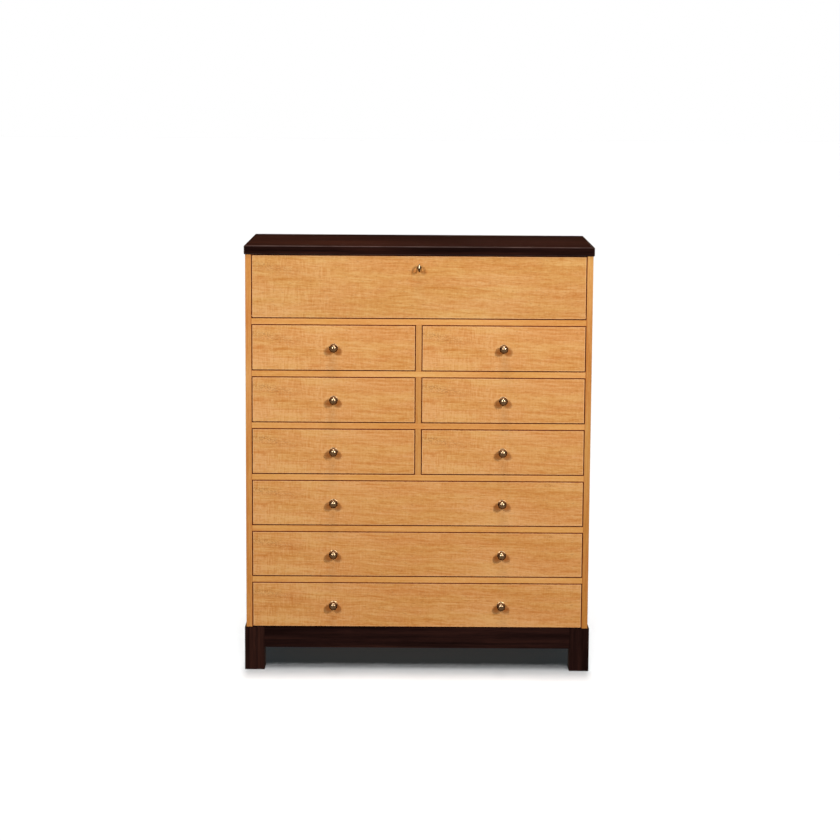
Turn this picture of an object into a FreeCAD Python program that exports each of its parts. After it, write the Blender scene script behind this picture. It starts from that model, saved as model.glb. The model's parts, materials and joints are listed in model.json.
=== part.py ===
# Tall case chest: an ebonised slab and plinth around a honey-coloured case that holds a
# fall-front compartment, three rows of half-width drawers and three full-width drawers.
# Millimetres, +Z up, front towards -Y. The origin is on the floor, under the middle of the
# whole piece, knobs included.
import FreeCAD, Part
import math
import os

from FreeCAD import Vector

# ---- case ----
case_width = 1100.0
case_depth = 535.0
side_thickness = 19.5
back_thickness = 12.0
back_rebate = 8.0              # how far the back panel is let into each side
front_edge_ease = 1.0          # rounding on the outer front corners of the sides
rail_thickness = 19.6
rail_depth = 65.0              # front to back
rear_rail_depth = 45.0
rail_tongue = 6.0              # length of the housed ends of the rails
rail_tongue_setback = 12.0     # the housings stop this far behind the front
rail_end_gap = 0.2             # shoulder line that shows at each end of a front rail
runner_width = 45.0
divider_thickness = 19.0

# ---- heights ----
plinth_height = 140.0
drawer_opening = 147.0
row_count = 6
half_width_rows = 3            # counted from the top
fall_opening = 201.4
slab_thickness = 29.0

# ---- slab and plinth ----
slab_overhang = 4.0
slab_edge_radius = 4.0
plinth_overhang = 5.0
leg_size = 63.5
apron_height = 66.0
apron_thickness = 22.0
apron_tenon_length = 20.0
apron_tenon_thickness = 9.0
apron_tenon_shoulder = 8.0     # top and bottom shoulders of the apron tenons
leg_edge_radius = 1.5
cleat_size = 20.0
cleat_setback = 40.0           # cleats start this far behind the front

# ---- fronts and drawers ----
reveal_gap = 2.2               # gap around every drawer front and the fall
bottom_reveal = 2.6            # gap between the lowest drawer front and the plinth
front_thickness = 19.5
front_edge_radius = 0.7
side_board = 12.0
drawer_back_thickness = 12.0
running_gap = 0.3              # between a drawer side and the surface it runs on
side_top_gap = 3.0
rear_gap = 10.0                # between a closed drawer and the back panel
bottom_thickness = 7.0
bottom_rise = 10.0             # from the lower edge of a drawer side up to its bottom panel
groove_depth = 6.0
groove_fit = 0.1
dovetail_count = 3
dovetail_lap = 7.5             # thickness of front left over the end of the tails
dovetail_slope = 1.0 / 7.0
dovetail_share = 0.36          # half width of a tail as a share of the spacing
stop_length = 30.0
stop_depth = 14.0
stop_height = 5.0
stop_gap = 0.2
stop_inset = 90.0              # from the end of an opening to the middle of its stop

# ---- knobs ----
knob_diameter = 25.0
knob_projection = 32.0
knob_rose_diameter = 27.0
knob_rose_land = 17.0           # flat middle of the coned rose
knob_rose_thickness = 3.0
knob_rose_edge = 0.5            # square edge against the drawer front
knob_neck_diameter = 9.0
knob_neck_sink = 0.5           # how far the neck runs into the ball
knob_shank_diameter = 4.0
knob_shank_length = 16.0
knob_shank_fit = 0.05

# ---- fall front, knife hinges and stays ----
pivot_setback = 3.5            # hinge pin behind the face of the fall
pivot_rise = 6.0               # hinge pin above the lower edge of the fall
hinge_pin_radius = 1.5
hinge_pin_fit = 0.05
hinge_plate_thickness = 2.5
hinge_plate_width = 11.0
hinge_plate_length = 45.0
hinge_plate_edge = 1.0         # plate behind the face of the fall
hinge_pin_end_gap = 0.2
floor_level_gap = 0.4          # compartment floor below the opened fall
floor_front_gap = 1.0          # between the swing of the fall and the floor board
stay_radius = 100.0
stay_width = 8.0
stay_thickness = 3.0
stay_side_gap = 2.0
stay_tail_angle = -1.0         # degrees, from straight back, at rest
stay_tail_end = 2.6            # degrees of brass beyond the stud
stay_foot_width = 14.0
stay_foot_thickness = 3.0
stay_foot_length = 28.0
stay_slot_gap = 2.0            # air around the stay in the floor board
stud_radius = 2.0
stud_fit = 0.08
guide_plate_thickness = 4.0
guide_plate_width = 18.0
guide_plate_margin = 1.4
guide_plate_overrun = 10.0     # degrees of plate beyond each end of the quarter turn
stud_end_gap = 1.0

# ---- lock and key ----
key_drop = 38.0                # keyhole below the slab
key_projection = 32.0
bow_diameter = 26.0
bow_wire_radius = 2.75
shank_radius = 2.0
collar_radius = 3.0
collar_length = 2.0
collar_gap = 0.6               # between the key's collar and the escutcheon
shank_fit = 0.06
bit_reach = 6.0
bit_thickness = 2.0
bit_width = 4.0
bolt_throw = 7.0
bolt_thickness = 3.0
bolt_head_width = 14.0
bolt_play = 0.3
strike_side_play = 0.6         # air around the bolt in its socket, across the front
strike_depth_play = 1.2        # and front to back
lock_width = 46.0
lock_below_key = 22.0
lock_depth = 11.0
lock_wall = 1.5
bolt_rim = 4.0
lock_mortise_fit = 0.1
escutcheon_diameter = 14.0
escutcheon_thickness = 2.0
escutcheon_bevel = 0.7
keyhole_play = 0.3
strike_thickness = 2.0
strike_width = 40.0
strike_depth = 18.0
strike_socket_depth = 12.0

# ---- planes that several pieces share ----
front_projection = max(knob_projection, key_projection)
back_y = (case_depth + front_projection) / 2.0
front_y = back_y - case_depth
inner_back_y = back_y - back_thickness
side_face_x = case_width / 2.0 - side_thickness
row_pitch = drawer_opening + rail_thickness
top_rail_z = plinth_height + row_count * row_pitch
case_top_z = top_rail_z + fall_opening
apron_bottom_z = plinth_height - apron_height
plinth_front_y = front_y - plinth_overhang
plinth_side_x = case_width / 2.0 + plinth_overhang
front_back_y = front_y + front_thickness
fall_low_z = top_rail_z + reveal_gap
fall_high_z = case_top_z - reveal_gap
fall_half_width = side_face_x - reveal_gap
pivot_y = front_y + pivot_setback
pivot_z = fall_low_z + pivot_rise
key_z = case_top_z - key_drop
lock_face_y = front_back_y - lock_depth
lock_plane_y = front_back_y - lock_depth / 2.0
floor_top_z = pivot_z + front_thickness - pivot_setback - floor_level_gap
fall_swing_radius = math.hypot(front_thickness - pivot_setback, pivot_rise)
floor_front_y = pivot_y + fall_swing_radius + floor_front_gap
stay_outer_x = side_face_x - stay_side_gap
stay_inner_x = stay_outer_x - stay_thickness

same_place = 0.01              # edges nearer than this to a plane lie on it


def box(x0, x1, y0, y1, z0, z1):
    corner = Vector(min(x0, x1), min(y0, y1), min(z0, z1))
    return Part.makeBox(abs(x1 - x0), abs(y1 - y0), abs(z1 - z0), corner)


def fuse(shapes):
    return shapes[0].fuse(shapes[1:]).removeSplitter() if len(shapes) > 1 else shapes[0]


def cut(shape, tools):
    return shape.cut(tools) if tools else shape


def mirror_x(shape):
    return shape.mirror(Vector(0, 0, 0), Vector(1, 0, 0))


def both_sides(shape):
    return [shape, mirror_x(shape)]


def save(name, shapes):
    solids = []
    for shape in shapes:
        solids.extend(shape.Solids)
    result = solids[0] if len(solids) == 1 else Part.makeCompound(solids)
    result.exportStep("parts/" + name + ".step")


def round_edges(shape, radius, wanted):
    edges = [edge for edge in shape.Edges if wanted(edge)]
    return shape.makeFillet(radius, edges) if edges else shape


def sector(x0, x1, inner, outer, low_angle, high_angle):
    # a flat ring segment around the hinge pin's line; angles run from straight back to up
    def at(radius, angle):
        turn = math.radians(angle)
        return Vector(min(x0, x1), pivot_y + radius * math.cos(turn), pivot_z + radius * math.sin(turn))

    middle = (low_angle + high_angle) / 2.0
    edges = [
        Part.Arc(at(outer, low_angle), at(outer, middle), at(outer, high_angle)).toShape(),
        Part.LineSegment(at(outer, high_angle), at(inner, high_angle)).toShape(),
        Part.Arc(at(inner, high_angle), at(inner, middle), at(inner, low_angle)).toShape(),
        Part.LineSegment(at(inner, low_angle), at(outer, low_angle)).toShape(),
    ]
    return Part.Face(Part.Wire(edges)).extrude(Vector(abs(x1 - x0), 0, 0))


def rail_low_z(row):
    # underside of the rail above a row; row 1 is the top row
    return plinth_height + (row_count - row) * row_pitch + drawer_opening


# ---------------- plinth ----------------
def plinth():
    back_leg_y = back_y - leg_size
    leg_x = plinth_side_x - leg_size
    tenon_low = apron_bottom_z + apron_tenon_shoulder
    tenon_high = plinth_height - rail_thickness - apron_tenon_shoulder
    tenon_in = (apron_thickness - apron_tenon_thickness) / 2.0
    inner_x = plinth_side_x - apron_thickness
    front_in = plinth_front_y + apron_thickness
    back_in = back_y - apron_thickness

    def long_apron(outer_y, inward):
        y0 = outer_y
        y1 = outer_y + inward * apron_thickness
        t0 = outer_y + inward * tenon_in
        t1 = t0 + inward * apron_tenon_thickness
        board = box(-leg_x, leg_x, y0, y1, apron_bottom_z, plinth_height)
        tongue_x = leg_x + apron_tenon_length
        return fuse([board, box(-tongue_x, tongue_x, t0, t1, tenon_low, tenon_high)])

    side_low_y = plinth_front_y + leg_size
    side_t0 = plinth_side_x - tenon_in
    side_t1 = side_t0 - apron_tenon_thickness
    side_apron = fuse([
        box(inner_x, plinth_side_x, side_low_y, back_leg_y, apron_bottom_z, plinth_height),
        box(side_t0, side_t1, side_low_y - apron_tenon_length, back_leg_y + apron_tenon_length,
            tenon_low, tenon_high),
    ])
    aprons = [long_apron(plinth_front_y, 1), long_apron(back_y, -1)] + both_sides(side_apron)

    bottom_low_z = plinth_height - rail_thickness
    board = box(-inner_x, inner_x, front_in, back_in, bottom_low_z, plinth_height)

    legs = []
    for y0 in (plinth_front_y, back_leg_y):
        leg = box(leg_x, plinth_side_x, y0, y0 + leg_size, 0, plinth_height)
        leg = round_edges(leg, leg_edge_radius, lambda edge: edge.BoundBox.ZLength > leg_size)
        legs.extend(both_sides(cut(leg, aprons + [board])))

    save("plinth_legs", legs)
    save("plinth_aprons", aprons)
    save("case_bottom", [board])


# ---------------- case ----------------
def side_panel():
    outer_x = case_width / 2.0
    panel = box(side_face_x, outer_x, front_y, back_y, plinth_height, case_top_z)
    panel = round_edges(panel, front_edge_ease, lambda edge: (
        edge.BoundBox.ZLength > plinth_height and abs(edge.BoundBox.YMin - front_y) < same_place
        and abs(edge.BoundBox.XMin - outer_x) < same_place))
    tools = [box(side_face_x, side_face_x + back_rebate, inner_back_y, back_y, plinth_height, case_top_z)]
    for row in range(1, row_count + 1):
        low = rail_low_z(row)
        housing_y = front_y + rail_tongue_setback
        tools.append(box(side_face_x, side_face_x + rail_tongue, housing_y, inner_back_y, low,
                         low + rail_thickness))
    tools.append(hinge_side_plate(0))
    tools.append(guide_outline())
    return cut(panel, tools)


def case_panels():
    right = side_panel()
    save("side_panel_right", [right])
    save("side_panel_left", [mirror_x(right)])
    back_x = side_face_x + back_rebate
    save("back_panel", [box(-back_x, back_x, inner_back_y, back_y, plinth_height, case_top_z)])


def web_frames():
    tongue_x = side_face_x + rail_tongue
    shoulder_x = side_face_x - rail_end_gap
    housing_y = front_y + rail_tongue_setback
    runner_y0 = front_y + rail_depth
    runner_y1 = inner_back_y - rear_rail_depth
    centre_x = divider_thickness / 2.0 + runner_width
    fronts = []
    frames = []
    for row in range(1, row_count + 1):
        low = rail_low_z(row)
        high = low + rail_thickness
        fronts.append(fuse([
            box(-shoulder_x, shoulder_x, front_y, runner_y0, low, high),
            box(-tongue_x, tongue_x, housing_y, runner_y0, low, high),
        ]))
        frames.append(box(-tongue_x, tongue_x, runner_y1, inner_back_y, low, high))
        frames.extend(both_sides(box(tongue_x, side_face_x - runner_width, runner_y0, runner_y1, low, high)))
        if row <= half_width_rows + 1:
            frames.append(box(-centre_x, centre_x, runner_y0, runner_y1, low, high))
    save("front_rails", fronts)
    save("runner_frames", frames)


def dividers():
    half = divider_thickness / 2.0
    boards = []
    for row in range(1, half_width_rows + 1):
        high = rail_low_z(row)
        boards.append(box(-half, half, front_y, inner_back_y, high - drawer_opening, high))
    save("drawer_dividers", boards)


def compartment():
    slot_x = stay_inner_x - stay_slot_gap
    slot_y = pivot_y + stay_radius + stay_width / 2.0 + stay_slot_gap
    board = box(-side_face_x, side_face_x, floor_front_y, inner_back_y, top_rail_z, floor_top_z)
    slot = box(slot_x, side_face_x, floor_front_y, slot_y, top_rail_z, floor_top_z)
    save("compartment_floor", [cut(board, both_sides(slot))])
    cleat = box(side_face_x - cleat_size, side_face_x, front_y + cleat_setback, inner_back_y,
                case_top_z - cleat_size, case_top_z)
    save("top_cleats", both_sides(cleat))


def slab_and_strike():
    edge_x = case_width / 2.0 + slab_overhang
    top = box(-edge_x, edge_x, front_y - slab_overhang, back_y, case_top_z, case_top_z + slab_thickness)
    top = round_edges(top, slab_edge_radius, lambda edge: (
        abs(edge.BoundBox.YMin - back_y) > same_place))
    plate = box(-strike_width / 2.0, strike_width / 2.0, lock_plane_y - strike_depth / 2.0,
                lock_plane_y + strike_depth / 2.0, case_top_z, case_top_z + strike_thickness)
    half_width = bolt_head_width / 2.0 + strike_side_play
    half_depth = bolt_thickness / 2.0 + strike_depth_play
    socket = box(-half_width, half_width, lock_plane_y - half_depth, lock_plane_y + half_depth,
                 case_top_z, case_top_z + strike_socket_depth)
    save("top_slab", [cut(top, [plate, socket])])
    save("strike_plate", [cut(plate, [socket])])


# ---------------- fall front ----------------
def hinge_side_plate(bore):
    plate = box(side_face_x, side_face_x + hinge_plate_thickness, front_y + hinge_plate_edge,
                front_y + hinge_plate_edge + hinge_plate_width, fall_low_z, fall_low_z + hinge_plate_length)
    if bore:
        hole = Part.makeCylinder(bore, hinge_plate_thickness, Vector(side_face_x, pivot_y, pivot_z),
                                 Vector(1, 0, 0))
        plate = plate.cut(hole)
    return plate


def hinge_flap_plate():
    inner_x = fall_half_width - hinge_plate_thickness
    plate = box(inner_x, fall_half_width, front_y + hinge_plate_edge,
                front_y + hinge_plate_edge + hinge_plate_width, fall_low_z + hinge_plate_edge,
                fall_low_z + hinge_plate_length)
    pin_length = reveal_gap + hinge_plate_thickness * 2.0 - hinge_pin_end_gap
    pin = Part.makeCylinder(hinge_pin_radius, pin_length, Vector(inner_x, pivot_y, pivot_z), Vector(1, 0, 0))
    return plate, fuse([plate, pin])


def guide_outline():
    inner = stay_radius - guide_plate_width / 2.0
    outer = stay_radius + guide_plate_width / 2.0
    sunk_x = side_face_x + guide_plate_thickness
    plate = sector(side_face_x, sunk_x, inner, outer, -guide_plate_overrun, 90.0 + guide_plate_overrun)
    keep = box(side_face_x, sunk_x, front_y + guide_plate_margin, inner_back_y,
               top_rail_z + guide_plate_margin / 2.0, case_top_z)
    return plate.common(keep)


def stay_guide():
    reach = stud_radius + stud_fit
    end = math.degrees((stud_radius + stud_end_gap / 2.0) / stay_radius)
    slot = sector(side_face_x, side_face_x + guide_plate_thickness, stay_radius - reach, stay_radius + reach,
                  stay_tail_angle - end, stay_tail_angle + 90.0 + end)
    return guide_outline().cut(slot)


def quadrant_stay():
    half = stay_width / 2.0
    arc = sector(stay_inner_x, stay_outer_x, stay_radius - half, stay_radius + half,
                 stay_tail_angle - stay_tail_end, 90.0)
    behind = box(stay_inner_x, stay_outer_x, front_back_y, pivot_y + stay_radius * 2.0,
                 pivot_z - stay_radius, pivot_z + stay_radius * 2.0)
    arc = arc.common(behind)
    foot_middle = pivot_z + stay_radius
    foot = box(stay_outer_x - stay_foot_width, stay_outer_x, front_back_y, front_back_y + stay_foot_thickness,
               foot_middle - stay_foot_length / 2.0, foot_middle + stay_foot_length / 2.0)
    turn = math.radians(stay_tail_angle)
    stud_at = Vector(stay_inner_x, pivot_y + stay_radius * math.cos(turn),
                     pivot_z + stay_radius * math.sin(turn))
    stud_length = side_face_x + guide_plate_thickness - stud_end_gap - stay_inner_x
    stud = Part.makeCylinder(stud_radius, stud_length, stud_at, Vector(1, 0, 0))
    return fuse([arc, foot, stud])


def keyhole(y0, y1, play):
    low_y = min(y0, y1)
    hole = Part.makeCylinder(shank_radius + play, abs(y1 - y0), Vector(0, low_y, key_z), Vector(0, 1, 0))
    half = bit_thickness / 2.0 + play
    return fuse([hole, box(-half, half, y0, y1, key_z - bit_reach - play, key_z)])


def lock():
    half = lock_width / 2.0
    low = key_z - lock_below_key
    outer = box(-half, half, lock_face_y, front_back_y, low, fall_high_z)
    inside = box(-half + lock_wall, half - lock_wall, lock_face_y + lock_wall, front_back_y - lock_wall,
                 low + lock_wall, fall_high_z - lock_wall)
    mouth_x = bolt_head_width / 2.0 + bolt_play
    mouth_y = bolt_thickness / 2.0 + bolt_play
    mouth = box(-mouth_x, mouth_x, lock_plane_y - mouth_y, lock_plane_y + mouth_y,
                fall_high_z - lock_wall, fall_high_z)
    bearing = Part.makeCylinder(shank_radius + shank_fit, lock_wall, Vector(0, lock_face_y, key_z),
                                Vector(0, 1, 0))
    return outer, cut(outer, [inside, mouth, bearing])


def lock_bolt():
    # The window leaves the key's bit room to turn: the bolt climbs in step with the key, so the
    # bit's edge comes nearest where the heights of the two rise at the same rate.
    nearest = math.asin(bolt_throw / math.pi / bit_reach)
    climb = bit_reach * math.cos(nearest) - bolt_throw * (1.0 - nearest / math.pi)
    window_top = max(climb, shank_radius) + bit_thickness / 2.0 + bolt_play
    dip = bit_reach * math.cos(nearest) + bolt_throw * nearest / math.pi
    window_low = max(dip, shank_radius + bolt_throw) + bit_thickness / 2.0 + bolt_play
    window_x = math.hypot(bit_reach, bit_thickness / 2.0) + bolt_play
    y0 = lock_plane_y - bolt_thickness / 2.0
    y1 = lock_plane_y + bolt_thickness / 2.0
    body = box(-window_x - bolt_rim, window_x + bolt_rim, y0, y1, key_z - window_low - bolt_rim,
               key_z + window_top + bolt_rim)
    head = box(-bolt_head_width / 2.0, bolt_head_width / 2.0, y0, y1, key_z + window_top,
               fall_high_z - bolt_play)
    window = box(-window_x, window_x, y0, y1, key_z - window_low, key_z + window_top)
    return fuse([body, head]).cut(window)


def key():
    bow_centre = front_y - key_projection + bow_diameter / 2.0
    ring = Part.makeTorus(bow_diameter / 2.0 - bow_wire_radius, bow_wire_radius, Vector(0, bow_centre, key_z),
                          Vector(1, 0, 0))
    shank_y0 = bow_centre + bow_diameter / 2.0 - bow_wire_radius
    shank_y1 = front_back_y - lock_wall - bolt_play
    shank = Part.makeCylinder(shank_radius, shank_y1 - shank_y0, Vector(0, shank_y0, key_z), Vector(0, 1, 0))
    collar_y = front_y - escutcheon_thickness - collar_gap - collar_length
    collar = Part.makeCylinder(collar_radius, collar_length, Vector(0, collar_y, key_z), Vector(0, 1, 0))
    half = bit_width / 2.0
    bit = box(-bit_thickness / 2.0, bit_thickness / 2.0, lock_plane_y - half, lock_plane_y + half,
              key_z - bit_reach, key_z)
    return fuse([ring, shank, collar, bit])


def escutcheon():
    outer = escutcheon_diameter / 2.0
    plate = Part.makeCone(outer, outer - escutcheon_bevel, escutcheon_thickness,
                          Vector(0, front_y, key_z), Vector(0, -1, 0))
    return plate.cut(keyhole(front_y - escutcheon_thickness, front_y, keyhole_play))


def fall_front():
    board = box(-fall_half_width, fall_half_width, front_y, front_back_y, fall_low_z, fall_high_z)
    board = ease_front(board)
    lock_outer, lock_case = lock()
    plate, hinge_leaf = hinge_flap_plate()
    fit = lock_mortise_fit
    bounds = lock_outer.BoundBox
    mortise = box(bounds.XMin - fit, bounds.XMax + fit, bounds.YMin, bounds.YMax, bounds.ZMin - fit,
                  bounds.ZMax)
    tools = [mortise, keyhole(front_y, lock_face_y, keyhole_play)] + both_sides(plate)
    save("fall_front", [cut(board, tools)])
    save("hinge_flap_plates", both_sides(hinge_leaf))
    save("hinge_side_plates", both_sides(hinge_side_plate(hinge_pin_radius + hinge_pin_fit)))
    save("stay_guides", both_sides(stay_guide()))
    save("quadrant_stays", both_sides(quadrant_stay()))
    save("lock_case", [lock_case])
    save("lock_bolt", [lock_bolt()])
    save("key", [key()])
    save("escutcheon", [escutcheon()])


# ---------------- drawers ----------------
def ease_front(board):
    # rounds the four long edges around the face
    return round_edges(board, front_edge_radius, lambda edge: (
        abs(edge.BoundBox.YMin - front_y) < same_place and abs(edge.BoundBox.YMax - front_y) < same_place))


def tails(x0, x1, shoulder_y, end_y, low_z, high_z):
    # tails on a side board: wider at the end than at the shoulder
    spacing = (high_z - low_z) / dovetail_count
    end_half = spacing * dovetail_share
    shoulder_half = end_half - abs(end_y - shoulder_y) * dovetail_slope
    shapes = []
    for index in range(dovetail_count):
        middle = low_z + (index + 0.5) * spacing
        corners = [
            Vector(x0, shoulder_y, middle - shoulder_half),
            Vector(x0, end_y, middle - end_half),
            Vector(x0, end_y, middle + end_half),
            Vector(x0, shoulder_y, middle + shoulder_half),
        ]
        face = Part.Face(Part.makePolygon(corners + corners[:1]))
        shapes.append(face.extrude(Vector(x1 - x0, 0, 0)))
    return shapes


def knob(x, z):
    ball = knob_diameter / 2.0
    ball_y = front_y - knob_projection + ball
    neck_y = ball_y + math.sqrt(ball ** 2 - (knob_neck_diameter / 2.0) ** 2) - knob_neck_sink
    rose_y = front_y - knob_rose_thickness
    edge_y = front_y - knob_rose_edge
    toward = Vector(0, 1, 0)
    sphere = Part.makeSphere(ball, Vector(x, ball_y, z), toward)
    neck = Part.makeCylinder(knob_neck_diameter / 2.0, front_y - neck_y, Vector(x, neck_y, z), toward)
    rose_radius = knob_rose_diameter / 2.0
    cone = Part.makeCone(knob_rose_land / 2.0, rose_radius, edge_y - rose_y, Vector(x, rose_y, z), toward)
    edge = Part.makeCylinder(rose_radius, knob_rose_edge, Vector(x, edge_y, z), toward)
    shank = Part.makeCylinder(knob_shank_diameter / 2.0, knob_shank_length, Vector(x, front_y, z), toward)
    return fuse([sphere, neck, cone, edge, shank])


def drawer(name, open_x0, open_x1, row, knob_xs):
    open_z0 = plinth_height + (row_count - row) * row_pitch
    open_z1 = open_z0 + drawer_opening
    low_gap = bottom_reveal if row == row_count else reveal_gap
    x0 = open_x0 + reveal_gap
    x1 = open_x1 - reveal_gap
    front_z0 = open_z0 + low_gap
    front_z1 = open_z1 - reveal_gap
    side_z0 = open_z0 + running_gap
    side_z1 = open_z1 - side_top_gap
    panel_z0 = side_z0 + bottom_rise
    panel_z1 = panel_z0 + bottom_thickness
    rear_y = inner_back_y - rear_gap
    rear_in_y = rear_y - drawer_back_thickness

    tail_end_y = front_y + dovetail_lap
    boards = []
    front_tails = []
    rear_tails = []
    for outer_x, inward in ((x0, 1), (x1, -1)):
        inner_x = outer_x + inward * side_board
        a = min(outer_x, inner_x)
        b = max(outer_x, inner_x)
        ahead = tails(a, b, front_back_y, tail_end_y, side_z0, side_z1)
        behind = tails(a, b, rear_in_y, rear_y, panel_z1, side_z1)
        body = box(a, b, front_back_y, rear_in_y, side_z0, side_z1)
        heel = box(a, b, rear_in_y, rear_y, side_z0, panel_z1)
        groove = box(inner_x, inner_x - inward * groove_depth, front_back_y, rear_y, panel_z0, panel_z1)
        boards.append(fuse([body, heel] + ahead + behind).cut(groove))
        front_tails.extend(ahead)
        rear_tails.extend(behind)

    knob_z = (open_z0 + open_z1) / 2.0
    inner_x0 = x0 + side_board
    inner_x1 = x1 - side_board
    groove_y = front_back_y - groove_depth
    shank_hole = knob_shank_diameter / 2.0 + knob_shank_fit
    holes = [Part.makeCylinder(shank_hole, front_thickness, Vector(x, front_y, knob_z), Vector(0, 1, 0))
             for x in knob_xs]
    front_groove = box(inner_x0, inner_x1, groove_y, front_back_y, panel_z0, panel_z1)
    front = ease_front(box(x0, x1, front_y, front_back_y, front_z0, front_z1))
    front = cut(front, front_tails + holes + [front_groove])

    back = cut(box(x0, x1, rear_in_y, rear_y, panel_z1, side_z1), rear_tails)
    slack = groove_fit
    panel = fuse([
        box(inner_x0 - groove_depth + slack, inner_x1 + groove_depth - slack, front_back_y, rear_y,
            panel_z0, panel_z1),
        box(inner_x0, inner_x1, groove_y + slack, front_back_y, panel_z0, panel_z1),
    ])
    save(name + "_front", [front])
    save(name + "_box", boards + [back])
    save(name + "_bottom", [panel])
    save(name + "_knob" if len(knob_xs) == 1 else name + "_knobs", [knob(x, knob_z) for x in knob_xs])


def drawers_and_stops():
    divider_x = divider_thickness / 2.0
    half_middle = (divider_x + side_face_x) / 2.0
    stops = []
    stop_y0 = front_back_y + stop_gap
    for row in range(1, row_count + 1):
        open_z0 = plinth_height + (row_count - row) * row_pitch
        if row <= half_width_rows:
            drawer("drawer_%d_left" % row, -side_face_x, -divider_x, row, [-half_middle])
            drawer("drawer_%d_right" % row, divider_x, side_face_x, row, [half_middle])
            middles = [side_face_x - stop_inset, divider_x + stop_inset]
        else:
            drawer("drawer_%d" % row, -side_face_x, side_face_x, row, [-half_middle, half_middle])
            middles = [side_face_x - stop_inset]
        for middle in middles:
            block = box(middle - stop_length / 2.0, middle + stop_length / 2.0, stop_y0,
                        stop_y0 + stop_depth, open_z0, open_z0 + stop_height)
            stops.extend(both_sides(block))
    save("drawer_stops", stops)


os.makedirs("parts", exist_ok=True)
plinth()
case_panels()
web_frames()
dividers()
compartment()
slab_and_strike()
fall_front()
drawers_and_stops()
print("nodes:", len(os.listdir("parts")))
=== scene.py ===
import json
import math

import bmesh
import bpy
from mathutils import Euler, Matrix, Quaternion, Vector

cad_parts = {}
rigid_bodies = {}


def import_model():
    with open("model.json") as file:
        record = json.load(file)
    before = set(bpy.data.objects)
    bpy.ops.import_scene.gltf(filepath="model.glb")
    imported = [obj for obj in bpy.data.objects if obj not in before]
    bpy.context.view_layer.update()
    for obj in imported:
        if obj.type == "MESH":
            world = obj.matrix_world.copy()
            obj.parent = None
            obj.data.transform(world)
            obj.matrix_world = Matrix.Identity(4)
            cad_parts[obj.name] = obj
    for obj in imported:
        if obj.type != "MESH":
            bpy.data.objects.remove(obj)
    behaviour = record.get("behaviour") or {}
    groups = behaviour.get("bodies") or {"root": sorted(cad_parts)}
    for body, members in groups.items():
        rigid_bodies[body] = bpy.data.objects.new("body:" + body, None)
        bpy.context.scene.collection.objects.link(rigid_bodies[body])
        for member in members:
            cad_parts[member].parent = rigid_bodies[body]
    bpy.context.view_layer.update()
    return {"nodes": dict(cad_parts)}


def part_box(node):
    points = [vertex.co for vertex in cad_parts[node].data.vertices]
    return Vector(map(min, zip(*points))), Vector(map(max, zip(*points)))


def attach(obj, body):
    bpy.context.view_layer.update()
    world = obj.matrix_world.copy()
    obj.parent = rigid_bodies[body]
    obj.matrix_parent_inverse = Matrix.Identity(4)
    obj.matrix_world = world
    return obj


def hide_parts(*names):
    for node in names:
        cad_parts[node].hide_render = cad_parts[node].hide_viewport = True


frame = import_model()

nodes = frame["nodes"]
millimetre = 0.001

fallLow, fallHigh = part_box("fall_front")
frontY = fallLow.y                               # plane of all the fronts
frontBackY = fallHigh.y
sideLow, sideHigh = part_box("side_panel_right")
print("frame loaded:", len(nodes), "pieces")


# small helpers for shader nodes

def newMaterial(name):
    material = bpy.data.materials.new(name)
    material.use_nodes = True
    material.node_tree.nodes.clear()
    return material, material.node_tree


def addNode(tree, kind, inputs=None, **settings):
    node = tree.nodes.new(kind)
    for key, value in settings.items():
        setattr(node, key, value)
    for key, value in (inputs or {}).items():
        socket = node.inputs[key]
        if isinstance(value, bpy.types.NodeSocket):
            tree.links.new(value, socket)
        else:
            socket.default_value = value
    return node


def calc(tree, operation, first, second=0.0, third=0.0):
    node = addNode(tree, "ShaderNodeMath", operation=operation)
    for index, value in enumerate((first, second, third)):
        if isinstance(value, bpy.types.NodeSocket):
            tree.links.new(value, node.inputs[index])
        else:
            node.inputs[index].default_value = value
    return node.outputs[0]


def remap(tree, value, fromLow, fromHigh, toLow=0.0, toHigh=1.0):
    node = addNode(tree, "ShaderNodeMapRange", {
        "Value": value, "From Min": fromLow, "From Max": fromHigh, "To Min": toLow, "To Max": toHigh,
    }, interpolation_type="SMOOTHSTEP")
    return node.outputs[0]


def mixColour(tree, factor, first, second, blend="MIX"):
    node = addNode(tree, "ShaderNodeMix", data_type="RGBA", blend_type=blend)
    for index, value in ((0, factor), (6, first), (7, second)):
        if isinstance(value, bpy.types.NodeSocket):
            tree.links.new(value, node.inputs[index])
        else:
            node.inputs[index].default_value = value
    return node.outputs[2]


def ramp(tree, value, stops):
    node = addNode(tree, "ShaderNodeValToRGB", {"Fac": value})
    elements = node.color_ramp.elements
    while len(elements) < len(stops):
        elements.new(1.0)
    for element, (place, colour) in zip(elements, stops):
        element.position = place
        element.color = (*colour, 1.0)
    return node.outputs[0]


def noise(tree, space, stretch, detail=3.0, roughness=0.55, distortion=0.0):
    # stretch is features per metre along the grain, across it and into the board
    scaled = addNode(tree, "ShaderNodeVectorMath", {0: space, 1: stretch}, operation="MULTIPLY").outputs[0]
    node = addNode(tree, "ShaderNodeTexNoise", {
        "Vector": scaled, "Scale": 1.0, "Detail": detail, "Roughness": roughness, "Distortion": distortion,
    }, noise_dimensions="3D")
    return node.outputs["Fac"]


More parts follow.
